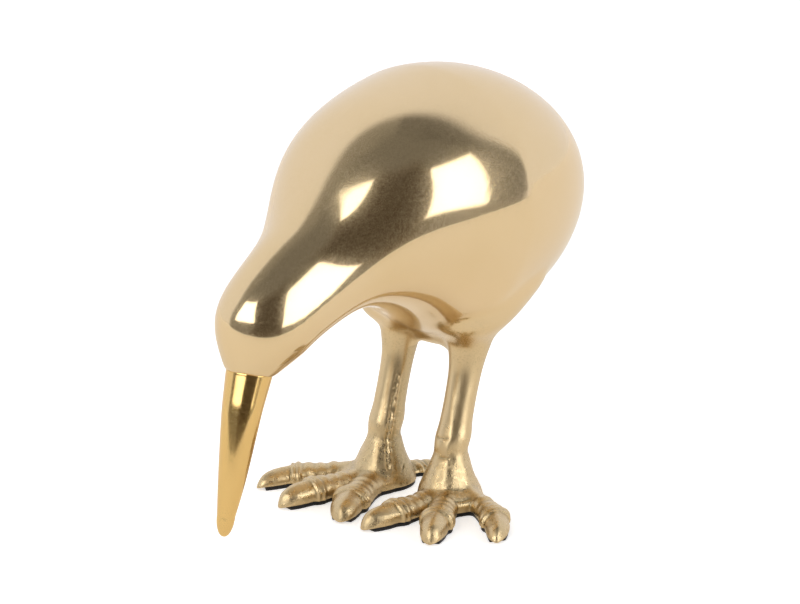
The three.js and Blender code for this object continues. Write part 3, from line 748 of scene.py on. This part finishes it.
feet = {}
soles = {}
for word, foot in FEET.items():
    side, toe_out = foot[:2]
    toes = [Toe(foot, *spec) for spec in TOES]
    skins = [shank(side), palm(side, toe_out)] + [t.flesh() for t in toes] + [t.horn() for t in toes]
    mesh = melt("leg_" + word, skins, GRAIN)
    rub(mesh, 3, push=0.0)
    points = get_points(mesh)
    z = points[:, 2]
    from_ankle = np.hypot(*(points[:, :2] - place(side * leg_spacing / 2, 0, 0)[:2]).T)
    round_ankle = rise_and_fall(z, 4, 7, 30, 40) * (1 - ramp(from_ankle, 17, 23))
    rub(mesh, 30, round_ankle, push=0.0)
    keep_side(mesh, SEAM, above=False, fill=False)
    points = get_points(mesh)
    marks = mould_marks(points, side, toes, place(*palm_middle(side, toe_out), 0)[:2])
    marks *= 1 - ramp(points[:, 2], SEAM - 16, SEAM - 8)
    set_points(mesh, points + marks[:, None] * get_normals(mesh))
    soles[word] = (section(mesh, pad_top), toes)
    keep_side(mesh, pad_top, above=True, fill=True)
    browning_and_shade = hollows(mesh)
    if side < 0:  # beyond the mould's line the right leg was hardly polished
        # Painted shade as well: the right leg's side to the right of the camera, beyond the mould's line, is
        # made browner.
        turn, _ = round_leg(get_points(mesh), side)
        browning_and_shade = browning_and_shade + 0.4 * ramp(turn, SEAM_ROUND - 4, SEAM_ROUND + 14)
    mesh.attributes.new("hollow_and_shade", "FLOAT", "POINT").data.foreach_set("value", browning_and_shade)
    normals = take_core_surface(mesh, side)
    points = get_points(mesh)
    for toe in toes:
        ahead_of_tip, beside = toe.from_tip(points)
        end = np.clip((ahead_of_tip + DROOP_LENGTH) / DROOP_LENGTH, 0, 1.2)
        end *= (beside < toe.width / 2) * (points[:, 2] < 12)
        points[:, 2] -= DROOP * np.minimum(end, 1) ** 2
    set_points(mesh, points)
    near_cut = get_points(mesh)[:, 2] > SEAM - BLEND
    own = get_normals(mesh)
    own[near_cut] = normals[near_cut]
    shaded = own[read(mesh.loops, "vertex_index", 1, np.int32).ravel()]
    flat = np.repeat([not p.use_smooth for p in mesh.polygons], [p.loop_total for p in mesh.polygons])
    shaded[flat] = (0, 0, -1)
    mesh.normals_split_custom_set(shaded.tolist())
    piece = put("leg_%s_casting" % word, mesh)
    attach(piece, "root")
    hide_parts("leg_" + word)
    feet[word] = piece
    print(word, "leg:", len(mesh.vertices), "points")

# %% [markdown]
# ## The felt pads
# A sole stands on 2 mm of black wool felt. It is cut along the casting a little inside its edge, and stops
# short of the claws' bent ends. So we walk round the casting's own lower edge, pull that line in, and give
# it the slightly uneven side that a knife leaves in felt.

# %% Felt pads
FELT_INSET, FELT_SHORT = 0.45, 4.0
KNIFE_STEP, KNIFE_WANDER = 0.8, 0.12
# share of the felt's height, and how far its cut side bulges there
FELT_SIDE = [(1, -0.12), (0.85, 0.02), (0.5, 0.1), (0.15, 0.02), (0, -0.14)]


def felt_pad(line, toes):
    """Points and faces of a pad cut along a line."""
    closed = np.vstack([line, line[:1]])
    walked = np.concatenate([[0], np.cumsum(np.hypot(*np.diff(closed, axis=0).T))])
    at = np.arange(0, walked[-1] - KNIFE_STEP / 2, KNIFE_STEP)
    line = np.stack([np.interp(at, walked, closed[:, k]) for k in range(2)], 1)
    for _ in range(2):
        line = (np.roll(line, 1, 0) + 2 * line + np.roll(line, -1, 0)) / 4
    along = np.roll(line, -1, 0) - np.roll(line, 1, 0)
    outward = np.stack([along[:, 1], -along[:, 0]], 1) / np.hypot(*along.T)[:, None]
    if (line[:, 0] * np.roll(line[:, 1], -1) - line[:, 1] * np.roll(line[:, 0], -1)).sum() < 0:
        outward = -outward
    line = line - FELT_INSET * outward
    for toe in toes:
        ahead_of_tip, beside = toe.from_tip(line)
        too_far = np.clip(ahead_of_tip + FELT_SHORT, 0, None) * (beside < toe.width / 2)
        line = line - too_far[:, None] * toe.tip()[1]
    rows = []
    for share, bulge in FELT_SIDE:
        row = np.column_stack([line, np.full(len(line), pad_top * share)])
        row[:, :2] += (bulge + KNIFE_WANDER * lumps(row, 0.9, 11))[:, None] * outward
        rows.append(row)
    n = len(line)
    faces = [(r * n + i, (r + 1) * n + i, (r + 1) * n + (i + 1) % n, r * n + (i + 1) % n)
             for r in range(len(rows) - 1) for i in range(n)]
    underside = range(len(rows) * n - 1, (len(rows) - 1) * n - 1, -1)
    return np.vstack(rows), faces + [tuple(range(n)), tuple(underside)]


pads = []
for word, (line, toes) in soles.items():
    pad = put("felt_pad_" + word, new_mesh("felt_pad_" + word, *felt_pad(line, toes)))
    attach(pad, "root")
    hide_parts("foot_pad_" + word)
    pads.append(pad)
print("felt pads:", [len(pad.data.vertices) for pad in pads])

# %% [markdown]
# ## Finishes
# Colours are written as sRGB hex, as they are picked on a screen, and turned into the linear values that a
# shader works with. A finish needs many nodes, so one small function adds a node, sets it and links it.

# %% Colour and node helpers
def colour(code):
    """A colour written as sRGB hex, turned into the linear values that the shader wants."""
    channels = [int(code[i:i + 2], 16) / 255 for i in (1, 3, 5)]
    return (*[c / 12.92 if c <= 0.04045 else ((c + 0.055) / 1.055) ** 2.4 for c in channels], 1.0)


def add(material, kind, settings=None):
    """Adds a shader node of a kind. Keys in small letters are its properties. Others are inputs, by name or
    number, and are linked where the value is an output, or another node, whose first output is meant."""
    node = material.node_tree.nodes.new("ShaderNode" + kind)
    for key, value in (settings or {}).items():
        if isinstance(value, bpy.types.Node):
            value = value.outputs[0]
        if isinstance(key, str) and key[0].islower():
            setattr(node, key, value)
        elif isinstance(value, bpy.types.NodeSocket):
            material.node_tree.links.new(value, node.inputs[key])
        else:
            node.inputs[key].default_value = value
    return node


def new_material(name):
    """A new material, and the shader in it."""
    material = bpy.data.materials.new(name)
    material.use_nodes = True
    return material, material.node_tree.nodes["Principled BSDF"]


# %% [markdown]
# The bird is one brass alloy in two finishes. The body went over ever finer polishing wheels: it mirrors
# the room, but millions of hair-fine scratches add a soft haze round every bright thing, so most of the
# skin is very smooth and a fine scatter of it is not. Towards the belly and down the legs the wheels reach
# less well, and the feet keep the sand's grain, browned in the hollows where no hand ever rubs. One
# material does all this by height, so there is no line between body and legs. A noise's scale is how many
# of its spots fit in a metre, so we write it as spots to the millimetre, divided by MM.

# %% Brass, from mirror to sand cast
def brass(name, bright, cast_code, browning_and_shade):
    """Brass by height: two shades where polished, one where cast, and a brown for hollows and painted shade.
    """
    material, shader = new_material(name)
    links = material.node_tree.links
    shader.inputs["Metallic"].default_value = 1
    where = add(material, "TexCoord").outputs["Object"]
    height = add(material, "SeparateXYZ", {"Vector": where}).outputs["Z"]

    # The wheels reach less and less of the skin from the belly down to the joint, and nothing on the toes
    cast = add(material, "MapRange", {
        "interpolation_type": "SMOOTHSTEP", "Value": height,
        "From Min": 100 * MM, "From Max": 64 * MM, "To Min": 0.0, "To Max": 0.8})
    foot = add(material, "MapRange", {
        "interpolation_type": "SMOOTHSTEP", "Value": height,
        "From Min": 42 * MM, "From Max": 14 * MM, "To Min": 0.0, "To Max": 0.2})
    unpolished = add(material, "Math", {"operation": "ADD", 0: cast, 1: foot})

    # Real scratches are too fine to show, so rougher specks, 9 to the millimetre, make the haze of the polish
    specks = add(material, "TexNoise", {"Scale": 9 / MM, "Detail": 0.0, "Vector": where})
    mirror = add(material, "MapRange", {
        "Value": specks, "From Min": 0.5, "From Max": 0.66, "To Min": 0.045, "To Max": 0.34})
    # Wheel marks run along the bird, 0.4 mm wide and 8 mm long
    along = add(material, "Mapping", {"Scale": (1.0, 0.05, 0.6), "Vector": where})
    lines = add(material, "TexNoise", {"Scale": 2.6 / MM, "Detail": 2.0, "Vector": along})
    wheel = add(material, "MapRange", {
        "Value": lines, "From Min": 0.6, "From Max": 0.74, "To Min": 0.0, "To Max": 0.26})
    polished = add(material, "Math", {"operation": "MAXIMUM", 0: mirror, 1: wheel})
    # Cast skin has patches of 2 to 3 mm, and glints more on the foot than on the shank
    patches = add(material, "TexNoise", {"Scale": 0.42 / MM, "Detail": 4.0, "Vector": where})
    smoothest = add(material, "MapRange", {
        "Value": height, "From Min": 45 * MM, "From Max": 20 * MM, "To Min": 0.36, "To Max": 0.2})
    dull = add(material, "MapRange", {
        "Value": patches, "From Min": 0.3, "From Max": 0.7,
        "To Min": smoothest, "To Max": 0.41})
    rough = add(material, "Mix", {"data_type": "FLOAT", 0: unpolished, 2: polished, 3: dull})
    links.new(rough.outputs[0], shader.inputs["Roughness"])

    # Tarnish gathers in hollows, and a little in the pores of the cast skin, 0.8 mm apart
    # These values also carry painted shade, on the right leg's side to the right of the camera.
    hollow_and_shade = add(material, "Attribute", {"attribute_name": "hollow_and_shade"})
    pores = add(material, "TexNoise", {"Scale": 1.3 / MM, "Detail": 3.0, "Vector": where})
    pore_share = add(material, "MapRange", {
        "Value": pores, "From Min": 0.5, "From Max": 0.75, "To Min": 0.0, "To Max": 0.3})
    tarnish_and_shade = add(material, "Math", {
        "operation": "MULTIPLY_ADD", 0: hollow_and_shade.outputs["Fac"], 1: 0.9, 2: pore_share})
    brown_and_shade_share = add(material, "Math", {
        "operation": "MULTIPLY", "use_clamp": True, 0: tarnish_and_shade, 1: unpolished})
    # The polished shades drift into each other over 3 cm
    cloud = add(material, "TexNoise", {"Scale": 0.03 / MM, "Detail": 2.0, "Vector": where})
    tone = add(material, "Mix", {
        "data_type": "RGBA", 0: cloud, 6: colour(bright[0]), 7: colour(bright[1])})
    as_cast = add(material, "Mix", {
        "data_type": "RGBA", 0: unpolished, 6: tone.outputs[2], 7: colour(cast_code)})
    paint = add(material, "Mix", {
        "data_type": "RGBA", 0: brown_and_shade_share, 6: as_cast.outputs[2], 7: colour(browning_and_shade)})
    links.new(paint.outputs[2], shader.inputs["Base Color"])

    # The wheel marks have a little relief, and sand grain of 0.7 mm covers the cast skin, deepest on the foot
    scratched = add(material, "Bump", {"Height": lines, "Strength": 0.35, "Distance": 0.008 * MM})
    grain = add(material, "TexNoise", {"Scale": 1.5 / MM, "Detail": 5.0, "Roughness": 0.6, "Vector": where})
    coarser = add(material, "MapRange", {
        "Value": height, "From Min": 45 * MM, "From Max": 20 * MM, "To Min": 0.3, "To Max": 0.9})
    depth = add(material, "Math", {"operation": "MULTIPLY", 0: unpolished, 1: coarser})
    grained = add(material, "Bump", {
        "Height": grain, "Strength": depth, "Distance": 0.18 * MM, "Normal": scratched})
    links.new(grained.outputs[0], shader.inputs["Normal"])
    return material


# The last colour is the brown of the hollows, and also of painted shade on the right leg.
body_brass = brass("brass from mirror polish to sand cast", ("#e8d0a8", "#e4ca9b"), "#d6bf94", "#73694c")

# %% [markdown]
# The beak was turned, so its polishing lines run round it, and its brass holds more zinc: it is yellower.
# Studs, nuts, washers and dowels are plain drawn steel with lines along them. The felt is wool: matt,
# mottled and fibrous.

# %% Beak, steel and felt
def plain(name, codes, per_mm, stretch, roughness, lift, metallic=1.0, sheen=0.0):
    """A finish whose colour, roughness and relief all follow one noise, stretched along the tool's marks.
    per_mm is how many marks there are to the millimetre, and lift how many millimetres they rise."""
    material, shader = new_material(name)
    shader.inputs["Metallic"].default_value = metallic
    shader.inputs["Sheen Weight"].default_value = sheen
    where = add(material, "TexCoord").outputs["Object"]
    stretched = add(material, "Mapping", {"Scale": stretch, "Vector": where})
    marks = add(material, "TexNoise", {"Scale": per_mm / MM, "Detail": 3.0, "Vector": stretched})
    tone = add(material, "Mix", {"data_type": "RGBA", 0: marks, 6: colour(codes[0]), 7: colour(codes[1])})
    low, high, smoothest, roughest = roughness
    rough = add(material, "MapRange", {
        "Value": marks, "From Min": low, "From Max": high, "To Min": smoothest, "To Max": roughest})
    relief = add(material, "Bump", {"Height": marks, "Strength": 0.4, "Distance": lift * MM})
    links = material.node_tree.links
    links.new(tone.outputs[2], shader.inputs["Base Color"])
    links.new(rough.outputs[0], shader.inputs["Roughness"])
    links.new(relief.outputs[0], shader.inputs["Normal"])
    return material


yellow = plain("turned yellow brass", ("#ebc988", "#e3bb72"), 9, (0.4, 0.4, 1.0),
               (0.45, 0.65, 0.08, 0.3), 0.002)
steel = plain("drawn steel", ("#8d9194", "#a6a9ab"), 1.5, (1.0, 1.0, 0.1), (0.3, 0.7, 0.28, 0.45), 0.03)
felt = plain("black wool felt", ("#121214", "#2b2b2f"), 2.4, (1.0, 1.0, 1.0), (0.3, 0.7, 0.85, 1.0), 0.3,
             metallic=0.0, sheen=0.3)

body.data.materials.append(body_brass)
beak.data.materials.append(yellow)
for foot in feet.values():
    foot.data.materials.append(body_brass)
for pad in pads:
    pad.data.materials.append(felt)
for name, node in frame["nodes"].items():
    if name.startswith(("leg_stud", "leg_washer", "leg_nut", "seam_dowel", "beak_pin")):
        node.data.materials.clear()
        node.data.materials.append(steel)
print("finishes:", [m.name for m in bpy.data.materials if m.users])

# %% [markdown]
# ## The studio
# A mirror shows the room, so the room matters as much as the metal. Such an ornament is photographed in a
# white tent whose front is open: behind the camera the room is dark, but for two soft boxes left and right
# of the lens. The white world is the tent, and a dome of dark cloth is the open front. The sheet under the
# bird lies askew: its front edge is 0.6 m ahead on the left of the picture, and falls back towards the
# right. Directions are given from the bird: degrees round from the camera towards the right of the picture,
# and degrees up.

# %% Directions round the bird
middle = Vector((middle_x, ankle_y - 30, 120))
DOME, BOX_AWAY = 4000, 3600  # how far off the dark front and the soft boxes are


def towards(round_degrees, up_degrees, distance):
    """A point of the room, in millimetres, seen from the bird in this direction."""
    turn, up = math.radians(round_degrees), math.radians(up_degrees)
    level = math.cos(turn) * ahead + math.sin(turn) * to_right
    return middle + distance * (math.cos(up) * level + math.sin(up) * Vector((0, 0, 1)))


def sheet_of(name, rows, **values):
    """A sheet through rows of points, with named values at each point, such as how solid it is there."""
    rows_count, columns = len(rows), len(rows[0])
    faces = [(r * columns + c, r * columns + c + 1, (r + 1) * columns + c + 1, (r + 1) * columns + c)
             for r in range(rows_count - 1) for c in range(columns - 1)]
    mesh = new_mesh(name, [point for row in rows for point in row], faces)
    for value_name, value in values.items():
        layer = mesh.attributes.new(value_name, "FLOAT", "POINT")
        layer.data.foreach_set("value", np.ravel(value).astype(float))
    sheet = put(name, mesh)
    sheet.visible_camera = False
    return sheet


# %% The dark front of the tent
OPEN_TURN, OPEN_TILT, OPEN_REACH = 5, 14, 83  # degrees
axis = (towards(OPEN_TURN, OPEN_TILT, 1) - middle).normalized()
beside = axis.cross(Vector((0, 0, 1))).normalized()  # towards the left of the picture
over = beside.cross(axis)


def front_way(reach, across, w):
    """A direction reach degrees off the opening's axis, at the angle w round it, or across its soft edge."""
    fade = 5 + 5 * max(math.sin(w), 0) ** 2 + 5 * max(math.cos(w), 0) ** 2  # softest at the top and the left
    edge = OPEN_REACH + 14 * max(math.sin(w), 0) ** 6 + 5 * max(-math.cos(w), 0) ** 6
    edge -= 8 * hill(math.degrees(w), 38, 25) + 5 * hill(math.degrees(w), 135, 28)
    q = math.radians(reach if across is None else edge + across * fade)
    return math.cos(q) * axis + math.sin(q) * (math.cos(w) * beside + math.sin(w) * over)


def room_light(way):
    """How bright the room behind the camera is in a direction, and how warm: wood and wall in the middle."""
    turn = math.degrees(math.atan2(way @ to_right, way @ ahead))
    up = math.degrees(math.asin(way.z))
    middle_band = rise_and_fall(turn, -22, -10, 40, 50) * (1 - ramp(up, 46, 62))
    level = 0.2 - 0.12 * middle_band
    level += 0.1 * (1 - ramp(turn, -80, -55)) - 0.06 * ramp(turn, 76, 88)
    level += 0.08 * ramp(turn, 30, 60) * (1 - ramp(up, -14, 2))
    return level, middle_band


all_round = np.linspace(0, 2 * math.pi, 97)
steps = [(reach, None) for reach in range(1, 74, 6)]
steps += [(None, across) for across in np.linspace(-0.5, 0.5, 7)]
ways = [[front_way(reach, across, w) for w in all_round] for reach, across in steps]
light = np.array([[room_light(way) for way in row] for row in ways])
cover = [[1.0 if across is None else 1 - ramp(across, -0.5, 0.5)] * len(all_round) for _, across in steps]
dark_front = sheet_of("dark_front", [[middle + DOME * way for way in row] for row in ways],
                      cover=cover, level=light[..., 0], warm=light[..., 1])
print("dark front:", len(dark_front.data.vertices), "points")

# %% Two soft boxes
# corners as (round, up): lower left, upper left, upper right, lower right
BOXES = {
    "right": [(44, -5), (48, 46), (82, 40), (78, -8)],
    "left": [(-66, 11), (-56, 52), (-11, 55), (-7, 11)],
}
BOX_LIGHT = 3.0
CELLS = 13
soft_boxes = []
for word, corners in BOXES.items():
    low_left, high_left, high_right, low_right = [np.array(c, float) for c in corners]
    rows = []
    for v in np.linspace(0, 1, CELLS):
        left, right = low_left + v * (high_left - low_left), low_right + v * (high_right - low_right)
        rows.append([towards(*(left + u * (right - left)), BOX_AWAY) for u in np.linspace(0, 1, CELLS)])
    edge = np.minimum(np.arange(CELLS), CELLS - 1 - np.arange(CELLS))
    cover = np.minimum(np.minimum.outer(edge, edge) * 1.0, 1)
    level = np.full_like(cover, BOX_LIGHT)
    soft_boxes.append(sheet_of("soft_box_" + word, rows, cover=cover, level=level, warm=0 * cover))
print("soft boxes:", len(soft_boxes))

# %% The white sheet under the bird
# its front edge from left to right, as (to the right of the picture, towards the camera) from the ankles
SHEET_EDGE = [(-4000, 700), (-300, 640), (0, 480), (150, 370), (300, 300), (500, 220), (900, 60),
              (4000, -1200)]
SHEET_BACK = 4000
floor_rows = [[Vector((middle_x, ankle_y, 0)) + (front - share * (front + SHEET_BACK)) * ahead + u * to_right
               for u, front in SHEET_EDGE] for share in (1, 0.6, 0.2, 0)]
floor = sheet_of("floor", floor_rows)
floor.visible_camera = True

# %% What the studio is made of
SHEET_GLOW = 0.55  # lifts the sheet to the tent's white for the camera
MIRRORED_GLOW = 0.21  # the brass sees the sheet a little brighter and warmer than it is
paper, shader = new_material("white paper sheet")
shader.inputs["Base Color"].default_value = colour("#f2f2f2")
shader.inputs["Roughness"].default_value = 0.9
path = add(paper, "LightPath")
seen_in_metal = add(paper, "Math", {
    "operation": "MAXIMUM", 0: path.outputs["Is Glossy Ray"], 1: path.outputs["Is Transmission Ray"]})
glow_tint = add(paper, "Mix", {
    "data_type": "RGBA", 0: seen_in_metal, 6: (1, 1, 1, 1), 7: colour("#ffecca")})
in_metal = add(paper, "Math", {"operation": "MULTIPLY", 0: seen_in_metal, 1: MIRRORED_GLOW})
in_camera = add(paper, "Math", {"operation": "MULTIPLY", 0: path.outputs["Is Camera Ray"], 1: SHEET_GLOW})
glow = add(paper, "Math", {"operation": "MAXIMUM", 0: in_metal, 1: in_camera})
paper.node_tree.links.new(glow_tint.outputs[2], shader.inputs["Emission Color"])
paper.node_tree.links.new(glow.outputs[0], shader.inputs["Emission Strength"])
floor.data.materials.append(paper)


def glowing(name, cool, warm):
    """A sheet as bright as its level, of one colour or the other, that fades out where its cover does."""
    material, shader = new_material(name)
    material.node_tree.nodes.remove(shader)
    value = {key: add(material, "Attribute", {"attribute_name": key}).outputs["Fac"]
             for key in ("warm", "level", "cover")}
    tint = add(material, "Mix", {"data_type": "RGBA", 0: value["warm"], 6: colour(cool), 7: colour(warm)})
    light = add(material, "Emission", {"Color": tint.outputs[2], "Strength": value["level"]})
    clear = add(material, "BsdfTransparent")
    mixed = add(material, "MixShader", {"Fac": value["cover"], 1: clear, 2: light})
    surface = material.node_tree.nodes["Material Output"].inputs["Surface"]
    material.node_tree.links.new(mixed.outputs[0], surface)
    return material


dark_front.data.materials.append(glowing("dark room", "#fbfaf8", "#ffe9cf"))
for box in soft_boxes:
    box.data.materials.append(glowing("soft box cloth", "#ffffff", "#ffffff"))

world = bpy.data.worlds.new("white tent")
bpy.context.scene.world = world
world.use_nodes = True
seen_by_camera = add(world, "LightPath").outputs["Is Camera Ray"]
tent = add(world, "Mix", {"data_type": "RGBA", 0: seen_by_camera, 6: colour("#f6f6fc"), 7: (1, 1, 1, 1)})
world.node_tree.links.new(tent.outputs[2], world.node_tree.nodes["Background"].inputs["Color"])
world.node_tree.nodes["Background"].inputs["Strength"].default_value = 1.0

bpy.context.scene.view_settings.view_transform = "Standard"
